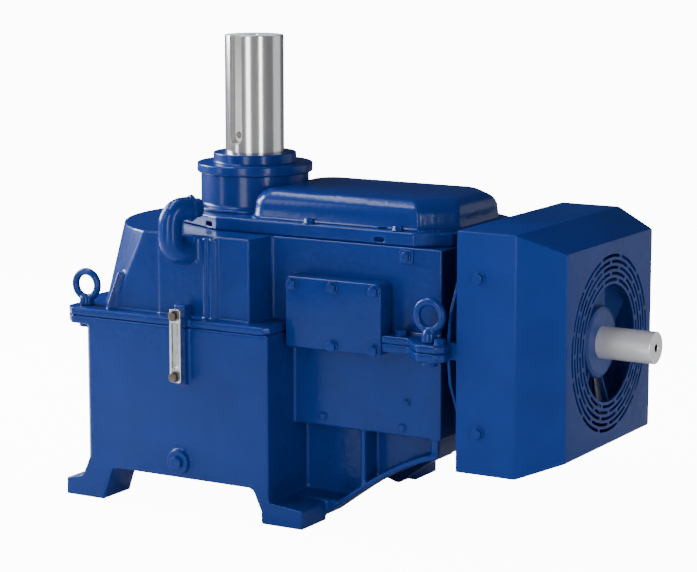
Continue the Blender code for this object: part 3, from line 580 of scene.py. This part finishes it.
def dome_outline(inset):
    """The domed cover's outline, drawn in by the inset."""
    left, right, side = 76.0 + inset, 540.0 - inset, 150.0 - inset
    corners = (
        (left, 24.0 - side),
        (left + 24.0, -side),
        (right - 60.0, -side),
        (right, 62.0 - side),
        (right, side - 62.0),
        (right - 60.0, side),
        (left + 24.0, side),
        (left, side - 24.0),
    )
    sizes = [18.0, 18.0, 6.0, 10.0, 10.0, 6.0, 18.0, 18.0]
    return eased(corners, sizes, 6)


def inspection_dome():
    """The domed cover, with a small foot fillet, drafted walls and a large rounded top edge."""
    base = PLATE_TOP + GAP
    levels = [(-5.0, base), (-4.8, base + 1.5), (-2.0, base + 3.0), (0.0, base + 6.0)]
    bend, rise = 30.0, 34.0
    start = DOME_TOP - rise
    for k in range(11):
        turn = math.pi / 2 * k / 10
        levels.append((2.0 + bend * (1 - math.cos(turn)), start + rise * math.sin(turn) - 1.5))
    levels += [(50.0, DOME_TOP - 0.3), (66.0, DOME_TOP)]
    rings = [[(x, y, z) for x, y in dome_outline(inset)] for inset, z in levels]
    obj = store("inspection_dome", loft(rings))
    notch = block((390, -165, base - 5), (410, -148, base + 3.2))
    combine(obj, "DIFFERENCE", [notch])
    finish_piece(obj, "housing", CAST, ["inspection_cover"], 50)


def tower():
    base, top = PLATE_TOP + GAP, TOWER_TOP - GAP
    foot = TOWER_R + 14
    corners = [(100, base), (foot, base), (foot, base + 6), (TOWER_R, base + 9), (TOWER_R, top)]
    corners.append((90, top))
    profile = eased(corners, [1, 1, 2.5, 9, 2, 1], 5, closed=False)
    obj = store("output_tower_turned", turned(profile))
    bore = turned([(80, base - 10), (80, TOWER_TOP + 10)])
    combine(obj, "DIFFERENCE", [bore])
    finish_piece(obj, "housing", SMOOTH_CAST, ["output_tower"])


def seal_cover():
    low = TOWER_TOP
    corners = [(100, low), (COVER_FLANGE_R, low), (COVER_FLANGE_R, COVER_FLANGE_TOP)]
    corners += [(COVER_COLLAR_R, COVER_FLANGE_TOP), (COVER_COLLAR_R, COVER_TOP), (70, COVER_TOP)]
    profile = eased(corners, [1, 2.5, 3.5, 5, 3, 1], 5, closed=False)
    obj = store("output_seal_cover_turned", turned(profile))
    bores = [turned([(OUTPUT_R + 1.5, low - 10), (OUTPUT_R + 1.5, COVER_TOP + 10)])]
    bores.append(turned([(78.3, 706.2), (78.3, COVER_TOP - 1.6)]))
    combine(obj, "DIFFERENCE", bores)
    finish_piece(obj, "housing", SMOOTH_CAST, ["output_seal_cover"])


def side_cover():
    (x0, x1), (z0, z1) = COVER_X, COVER_Z
    outline = eased(rectangle(x0, z0, x1, z1), [6, 8, 16, 8], 6)
    obj = store("side_cover_cast", prism(outline, -COVER_FRONT, -COVER_BACK, "Y"))
    soften(obj, 4.0, 4, 50)
    finish_piece(obj, "housing", CAST, ["side_cover"])


# Hexagon bolts


def hex_bolt(
    name, place, axis, nodes, across=19.0, height=10.0, material=CAST
):
    """A hexagon head with a chamfered top on a round washer, facing along the axis."""
    turn = Vector((0, 0, 1)).rotation_difference(Vector(axis)).to_matrix().to_4x4()
    spot = Matrix.Translation(Vector(place)) @ turn
    reach = across / math.sqrt(3)
    wide = reach * 1.3
    head = prism(circle(reach, 6, math.pi / 6), WASHER, height)
    corners = [(wide, WASHER - 5), (wide, height - reach * 0.16), (reach * 0.82, height)]
    chamfer = turned(corners, segments=48)
    rim = reach * 1.18
    corners = [(2, 0.2), (rim, 0.2), (rim, WASHER), (2, WASHER + 0.2)]
    disc = turned(eased(corners, 0.7, 2, closed=False), segments=48)
    for mesh in (head, chamfer, disc):
        mesh.transform(spot)
    obj = store(name, head)
    combine(obj, "INTERSECT", [chamfer])
    combine(obj, "UNION", [disc])
    soften(obj, 0.6, 2, 25)
    finish_piece(obj, "housing", material, nodes)


def side_bolts():
    names = ("upper_left", "upper_middle", "upper_right", "lower_middle", "lower_right")
    for name, (x, z) in zip(names, COVER_BOLTS):
        place = (x, -COVER_FRONT, z)
        hex_bolt(f"cover_bolt_{name}", place, (0, -1, 0), [f"side_cover_bolt_{name}"])


def top_bolts():
    for side, y in (("front", -164.0), ("rear", 164.0)):
        for end, x in (("left", 235.0), ("right", 441.0)):
            name = f"inspection_cover_bolt_{side}_{end}"
            hex_bolt(f"{name}_head", (x, y, PLATE_TOP), (0, 0, 1), [name])
    for side, sign in SIDES:
        for kind, x, y, across in SPLIT_BOLTS:
            name = f"{kind}_{side}"
            hex_bolt(f"{name}_head", (x, sign * y, FLANGE_TOP), (0, 0, 1), [name], across, 12.0)


def cowl_bolts():
    for side, sign in SIDES:
        way = (0, sign, 0)
        for row, z in (("upper", 541.0), ("lower", 235.0)):
            name = f"cowl_bolt_{side}_{row}"
            place = (662.0, sign * COWL_HALF_Y, z)
            hex_bolt(f"{name}_head", place, way, [name], material=SHEET)


def plugs():
    """Small blanking plugs on the box's front and rear faces, one of them on a pad."""
    pad_outline = eased(rectangle(457, 546, 489, 574), 6.0, 5)
    for side, sign in SIDES:
        way = (0, sign, 0)
        for index, (x, z) in enumerate(BOX_PLUGS):
            hex_bolt(f"box_plug_{side}_{index}", (x, sign * BOX_FACE, z), way, [], 13.0, 6.0)
        low, high = sorted((sign * (BOX_FACE - 2), sign * PAD_FACE))
        pad = store(f"plug_pad_{side}", prism(pad_outline, low, high, "Y"))
        soften(pad, 1.5, 3, 50)
        finish_piece(pad, "housing", CAST)
        hex_bolt(f"pad_plug_{side}", (473, sign * PAD_FACE, 561), way, [], 16.0, 8.0)


def drain():
    """The round boss low on the front wall, and the plug in it."""
    corners = [(4, 4), (25.5, 4), (25.5, 15.5), (4, 15.5)]
    boss = turned(eased(corners, 2.5, 4, closed=False), segments=64)
    place = Matrix.Translation((DRAIN_X, -284.0, DRAIN_Z))
    boss.transform(place @ turn_to("Y") @ Matrix.Rotation(math.pi, 4, "X"))
    rim = store("drain_boss_rim", boss)
    finish_piece(rim, "housing", SMOOTH_CAST)
    place = (DRAIN_X, -295.6, DRAIN_Z)
    hex_bolt("drain_plug_head", place, (0, -1, 0), ["drain_plug"], 25.0, 12.0)


# Lifting eyes and breather


def eyebolts():
    turns = [2 * math.pi * i / 72 for i in range(72)]
    base = FLANGE_TOP + GAP
    for side, sign in SIDES:
        for end, x, away, neck, waist in EYEBOLTS:
            y = sign * away
            shoulder = base + neck
            centre = shoulder + 36.0
            path = [(x + 28 * math.cos(t), y, centre + 28 * math.sin(t)) for t in turns]
            ring = tube_along(path, 7.9, 24, closed=True)
            corners = [(4, base), (16, base), (15.5, shoulder)]
            corners += [(waist, shoulder + 12), (3, shoulder + 13)]
            neck_profile = eased(corners, [1, 2, 4, 3, 1], 4, closed=False)
            obj = store(f"lifting_eye_{side}_{end}", ring)
            combine(obj, "UNION", [turned(neck_profile, (x, y, 0), segments=48)])
            round_all(obj, EYE_GRID, 6)
            nodes = [f"lifting_eyebolt_{side}_{end}"]
            finish_piece(obj, "housing", SMOOTH_CAST, nodes, 60)


def breather_place():
    return Matrix.Translation((-21.0, -290.0, 0)) @ Matrix.Rotation(math.radians(-28), 4, "Z")


def breather():
    """The bent pipe, and the nut and round vent at its upper end."""
    turns = [math.pi / 2 * i / 14 for i in range(15)]
    bend, top, low = 31.0, 632.0, 540.0
    upper = [(0, bend - bend * math.sin(t), top - bend + bend * math.cos(t)) for t in turns]
    lower = [(0, bend - bend * math.cos(t), low + bend - bend * math.sin(t)) for t in turns]
    pipe = tube_along([(0, 43.6, top), *upper, *lower, (0, bend + 22, low)], 24.0, 48)
    pipe.transform(breather_place())
    obj = store("breather_pipe_bent", pipe)
    wall = block((-60, -258.7, 480), (60, -190, 574))
    combine(obj, "DIFFERENCE", [wall])
    finish_piece(obj, "housing", SMOOTH_CAST, ["breather_pipe"])

    nut = prism(circle(28.0, 6, math.pi / 6), 44.0, 54.0, "Y")
    cone = turned([(24.5, 43.9), (28.3, 45.8), (28.3, 52.2), (24.5, 54.1)], axis="Y", segments=64)
    vent_profile = eased([(3, 52), (20, 52), (20, 70), (3, 70)], [1, 1, 4, 1], 5, closed=False)
    vent = turned(vent_profile, axis="Y", segments=64)
    for mesh in (nut, cone, vent):
        mesh.transform(breather_place() @ Matrix.Translation((0, 0, top)))
    union = store("breather_nut_and_vent", nut)
    combine(union, "INTERSECT", [cone])
    combine(union, "UNION", [vent])
    soften(union, 0.8, 2, 25)
    finish_piece(union, "housing", SMOOTH_CAST, ["breather_union"])


# Oil gauge


def oil_gauge():
    low, high = GAUGE_Z
    outline = eased(rectangle(GAUGE_X - 13.3, low, GAUGE_X + 13.3, high), 5.0, 5)
    obj = store("gauge_frame", prism(outline, -GAUGE_FACE, -GAUGE_BACK, "Y"))
    window = eased(rectangle(GAUGE_X - 8.5, low + 27, GAUGE_X + 8.5, high - 27), 5.0, 5)
    combine(obj, "DIFFERENCE", [prism(window, -GAUGE_FACE - 10, -GAUGE_BACK - 5, "Y")])
    soften(obj, 1.6, 3, 30)
    finish_piece(obj, "housing", GAUGE_METAL, ["oil_gauge_frame"])
    middle = (GAUGE_X, -GAUGE_BACK - 12.5, 0)
    tube = turned([(7.0, low + 27.5), (7.0, high - 27.5)], middle, segments=40)
    glass = store("gauge_tube", tube)
    finish_piece(glass, "housing", GLASS, ["oil_gauge_tube"])
    for name, z in zip(("lower", "upper"), GAUGE_BOLT_Z):
        place = (GAUGE_X, -GAUGE_FACE, z)
        bolt = f"oil_gauge_bolt_{name}"
        hex_bolt(
            f"{bolt}_head", place, (0, -1, 0), [bolt], 17.0, 11.5, DARK_BOLT
        )


# Shafts


def key_seat(width, depth, radius, low, high):
    """A keyway cutter along +Z at +X, with a rounded lower end."""
    half = width / 2
    floor = radius - depth
    outline = [(-half, high), (-half, low)]
    outline += [(-half * math.cos(t), low - half * math.sin(t)) for t in half_turn(20)]
    outline += [(half, low), (half, high)]
    return prism(outline, floor, radius + 20, "X")


def centre_hole_shade(name, body, place, radius, axis):
    """A dark lining 20 mm deep in the tapped hole of a shaft's end: painted shade for the hole's
    dark inside.
    """
    cup = turned([(radius, -22), (radius, -0.2)], segments=48)
    cup.transform(Matrix.Translation(place) @ turn_to(axis))
    hollow = turned([(radius - 1.6, -20), (radius - 1.6, 5)], segments=48)
    hollow.transform(Matrix.Translation(place) @ turn_to(axis))
    obj = store(name, cup)
    combine(obj, "DIFFERENCE", [hollow])
    finish_piece(obj, body, BORE_SHADE)


def output_shaft():
    corners = [(20, 96), (54, 96), (54.7, 150), (74.7, 151), (74.7, 275), (88, 276), (88, 300)]
    corners += [(76, 301), (76, 560), (64.7, 600), (64.7, 677)]
    corners += [(OUTPUT_R, 679), (OUTPUT_R, OUTPUT_TOP), (4, OUTPUT_TOP)]
    profile = eased(corners, [1] + [0.5] * 11 + [2.6, 1], 3, closed=False)
    obj = store("output_shaft_ground", turned(profile, segments=160))
    seat = key_seat(KEY_WIDTH, KEY_DEPTH, OUTPUT_R, KEY_LOW, 1000)
    low, high = OUTPUT_R - KEY_DEPTH - 16, OUTPUT_R + 5
    hole = turned([(7.5, low), (7.5, high)], (0, 0, KEY_LOW + 4), "X", 40)
    for mesh in (seat, hole):
        mesh.transform(Matrix.Rotation(KEY_ANGLE, 4, "Z"))
    centre = turned([(11, 930), (11, 970), (14, OUTPUT_TOP), (14, 990)], segments=48)
    centre_hole_shade("output_centre_hole_shade", "output", (0, 0, 970), 10.9, "Z")
    combine(obj, "DIFFERENCE", [seat, hole, centre])
    soften(obj, 0.7, 2, 50)
    even_shading(finish_piece(obj, "output", OUTPUT_STEEL, ["output_shaft"], 30))


def input_shaft():
    """The bevel pinion as the CAD has it, and the ground shaft from there to the coupling end."""
    start = 431.0
    pinion = copy_of("bevel_pinion", "input_pinion_shaft")
    beyond = block((start, -100, INPUT_Z - 100), (1000, 100, INPUT_Z + 100))
    combine(pinion, "DIFFERENCE", [beyond])
    finish_piece(pinion, "input", GEAR_STEEL, ["input_pinion_shaft"], 30)

    corners = [(20, start), (39.7, start), (39.7, 560), (36, 562), (36, 640)]
    corners += [(INPUT_R, 642), (INPUT_R, INPUT_END), (3, INPUT_END)]
    profile = eased(corners, [1, 1, 1, 1, 1, 1, 2.4, 1], 3, closed=False)
    obj = store("input_shaft_ground", turned(profile, INPUT_AXIS, "X", 128))
    centre = turned([(8, 895), (8, 929), (9, INPUT_END), (9, 950)], INPUT_AXIS, "X", 40)
    centre_hole_shade("input_centre_hole_shade", "input", (929, 0, INPUT_Z), 7.9, "X")
    half, inner, outer = 9.0, 852, 920
    outline = [(outer, half), (inner, half)]
    outline += [(inner - half * math.sin(t), half * math.cos(t)) for t in half_turn(16)]
    outline += [(inner, -half), (outer, -half)]
    outline += [(outer + half * math.sin(t), -half * math.cos(t)) for t in half_turn(16)]
    seat = prism(outline, INPUT_Z - INPUT_R - 10, INPUT_Z - INPUT_R + 7)
    combine(obj, "DIFFERENCE", [centre, seat])
    soften(obj, 0.6, 2, 50)
    even_shading(finish_piece(obj, "input", INPUT_STEEL, [], 30))


# Cowl and fan


def cowl_outline(draw, inset):
    """The cowl's outline. Draw is how far it has drawn in from its widest to its face."""
    half_y = COWL_HALF_Y - inset - draw * (COWL_HALF_Y - COWL_FACE_Y)
    half_z = COWL_HALF_Z - inset - draw * (COWL_HALF_Z - COWL_FACE_Z)
    corners = ((-half_y, -half_z), (half_y, -half_z), (half_y, half_z), (-half_y, half_z))
    return [(y, INPUT_Z + z) for y, z in eased(corners, 5.0 - inset * 0.6, 3)]


def cowl_shell(inset, rear):
    """The cowl's skin as a closed solid, with its folds rounded."""
    front = COWL_FRONT - inset
    stations = [(rear, 0.0), (COWL_BEND - 4, 0.0), (COWL_BEND - 1.2, 0.004)]
    stations += [(COWL_BEND + 1.5, 0.02), (COWL_BEND + 4.5, 0.05), (front - 3.2, 0.965)]
    stations += [(front - 1.0, 0.993), (front - 0.2, 1.018), (front, 1.06)]
    return loft([[(x, y, z) for y, z in cowl_outline(draw, inset)] for x, draw in stations])


def arc_slot(radius, middle, half_angle):
    """An arc slot with round ends, as (y, z) points."""
    half = SLOT_WIDTH / 2
    inner, outer = radius - half, radius + half
    steps = 7
    turns = [middle - half_angle + 2 * half_angle * i / steps for i in range(steps + 1)]
    outline = [(outer * math.cos(t), outer * math.sin(t)) for t in turns]
    outline += end_cap(radius, turns[-1], half, 1)
    outline += [(inner * math.cos(t), inner * math.sin(t)) for t in reversed(turns)]
    outline += end_cap(radius, turns[0], half, -1)
    return [(y, INPUT_Z + z) for y, z in outline]


def end_cap(radius, turn, half, way):
    """The points of a slot's round end, between its two arcs."""
    centre = Vector((radius * math.cos(turn), radius * math.sin(turn)))
    out = Vector((math.cos(turn), math.sin(turn))) * way
    along = Vector((-math.sin(turn), math.cos(turn))) * way
    return [tuple(centre + half * (math.cos(t) * out + math.sin(t) * along)) for t in half_turn(5)]


def grille():
    pitch = 2 * math.pi / SLOTS_PER_RING
    slots = []
    for row, radius in enumerate(SLOT_RINGS):
        half_angle = (pitch * radius - SLOT_LAND) / radius / 2
        for i in range(SLOTS_PER_RING):
            middle = pitch * (i + 0.5 * (row % 2))
            slots.append(prism(arc_slot(radius, middle, half_angle), *COWL_CUT, "X"))
    return joined(slots)


def cowl():
    obj = store("fan_cowl_sheet", cowl_shell(0.0, COWL_REAR))
    eye = turned([(EYE_HOLE_R, x) for x in COWL_CUT], INPUT_AXIS, "X", 128)
    combine(obj, "DIFFERENCE", [cowl_shell(COWL_WALL, COWL_REAR - 30), eye, grille()])
    finish_piece(obj, "housing", SHEET, ["fan_cowl"], 30)


def fan_blade(turn):
    """A twisted, cambered blade that stands on the hub."""
    rings = []
    for k in range(9):
        share = k / 8
        pitch = math.radians(46 - 14 * share)
        cos, sin = math.cos(pitch), math.sin(pitch)
        reach = BLADE_ROOT + BLADE_LENGTH * share
        chord = 27.0 - 1.0 * share
        section = []
        for side in (1, -1):
            for step in range(7):
                s = (step / 6 * 2 - 1) * side
                camber = 5.0 * (1 - s * s)
                section.append((s * chord, camber + side * 1.4))
        ring = [(x * cos - y * sin, x * sin + y * cos) for x, y in section]
        rings.append([(FAN_X + x, y, reach) for x, y in ring])
    mesh = loft(rings)
    mesh.transform(Matrix.Translation(INPUT_AXIS) @ Matrix.Rotation(turn, 4, "X"))
    return mesh


def fan():
    corners = [(34, 743), (70, 743), (72, 811), (68, 814), (66.5, 812), (64, 814), (34, 814)]
    hub_profile = eased(corners, [1, 2, 1, 1, 1, 1, 1], 4, closed=False)
    obj = store("cooling_fan_cast", turned(hub_profile, INPUT_AXIS, "X", 96))
    bore = turned([(32.8, 700), (32.8, 850)], INPUT_AXIS, "X", 64)
    combine(obj, "DIFFERENCE", [bore])
    combine(obj, "UNION", [fan_blade(2 * math.pi * i / FAN_BLADES) for i in range(FAN_BLADES)])
    finish_piece(obj, "input", FAN, ["cooling_fan"], 40)


# CAD nodes that keep their shape


def keep(name, material, edge=0.0):
    """A CAD node shown as it is, with a finish of its own and slightly broken edges."""
    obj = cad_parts[name]
    obj.data.materials.clear()
    obj.data.materials.append(material)
    if edge:
        weld = obj.modifiers.new("weld", "WELD")
        weld.merge_threshold = 1e-6
        bevel = obj.modifiers.new("edges", "BEVEL")
        bevel.width = edge * MM
        bevel.segments = 2
        bevel.limit_method = "ANGLE"
        bevel.angle_limit = math.radians(35)


def kept_nodes():
    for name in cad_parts:
        if "bearing" in name and name != "input_bearing_cover":
            keep(name, BEARING_STEEL)
    for name in ("output_gear", "bevel_gear", "intermediate_pinion_shaft"):
        keep(name, GEAR_STEEL)
    keep("input_bearing_cover", SMOOTH_CAST, 1.0)
    keep("air_guide_plate", SHEET, 0.6)
    keep("output_shaft_seal", RUBBER)
    for side in ("front", "rear"):
        keep(f"cowl_bracket_{side}", SHEET, 0.6)


# Studio


def studio_floor():
    mesh = bmesh.new()
    bmesh.ops.create_grid(mesh, x_segments=8, y_segments=8, size=FLOOR_SIZE / 2)
    data = bpy.data.meshes.new("floor")
    mesh.to_mesh(data)
    mesh.free()
    obj = bpy.data.objects.new("floor", data)
    obj.location = (0, 0, -0.0005)
    bpy.context.scene.collection.objects.link(obj)
    data.materials.append(pale_floor("pale_floor"))


def softbox(name, azimuth, elevation, distance, width, height, radiance, colour):
    """A rectangular light that faces the gearbox and isn't seen by the camera itself."""
    light = bpy.data.lights.new(name, "AREA")
    light.shape = "RECTANGLE"
    light.size = width
    light.size_y = height
    light.energy = radiance * math.pi * width * height
    light.color = colour
    obj = bpy.data.objects.new(name, light)
    turn, rise = math.radians(azimuth), math.radians(elevation)
    way = Vector((math.cos(turn) * math.cos(rise), math.sin(turn) * math.cos(rise), math.sin(rise)))
    obj.location = Vector(LIGHT_AIM) + way * distance
    obj.rotation_euler = (-way).to_track_quat("-Z", "Y").to_euler()
    obj.visible_camera = False
    bpy.context.scene.collection.objects.link(obj)


def dim_room(tree):
    """The room as reflections see it: softly lit, and darker behind the gearbox."""
    place = node(tree, "ShaderNodeTexCoord").outputs["Generated"]
    dot = node(tree, "ShaderNodeVectorMath", operation="DOT_PRODUCT")
    dot.inputs[1].default_value = (-0.5, 0.85, 0.1)
    tree.links.new(place, dot.inputs[0])
    return spread(tree, dot.outputs["Value"], 0.16, 0.05, 0.45, 0.9)


def studio():
    studio_floor()
    for light in SOFTBOXES:
        softbox(*light)
    world = bpy.data.worlds.new("studio")
    world.use_nodes = True
    tree = world.node_tree
    dim = tree.nodes["Background"]
    dim.inputs["Color"].default_value = (0.93, 0.95, 1.0, 1.0)
    tree.links.new(dim_room(tree), dim.inputs["Strength"])
    white = node(tree, "ShaderNodeBackground")
    white.inputs["Color"].default_value = (*WHITE, 1.0)
    white.inputs["Strength"].default_value = BACKDROP
    mix = node(tree, "ShaderNodeMixShader")
    path = node(tree, "ShaderNodeLightPath")
    tree.links.new(path.outputs["Is Camera Ray"], mix.inputs["Fac"])
    tree.links.new(dim.outputs["Background"], mix.inputs[1])
    tree.links.new(white.outputs["Background"], mix.inputs[2])
    tree.links.new(mix.outputs["Shader"], tree.nodes["World Output"].inputs["Surface"])
    bpy.context.scene.world = world


def camera():
    """A long lens from the front right, a little above the gearbox."""
    data = bpy.data.cameras.new("camera")
    data.lens = LENS
    data.sensor_width = 36.0
    data.clip_end = 300.0
    obj = bpy.data.objects.new("camera", data)
    obj.location = AXIS + Vector(CAMERA_PLACE) * MM
    obj.rotation_euler = Vector(CAMERA_WAY).to_track_quat("-Z", "Y").to_euler()
    bpy.context.scene.collection.objects.link(obj)
    bpy.context.scene.camera = obj


castings()
inspection_dome()
tower()
seal_cover()
side_cover()
side_bolts()
top_bolts()
cowl_bolts()
plugs()
drain()
eyebolts()
breather()
oil_gauge()
output_shaft()
input_shaft()
cowl()
fan()
kept_nodes()
studio()
camera()
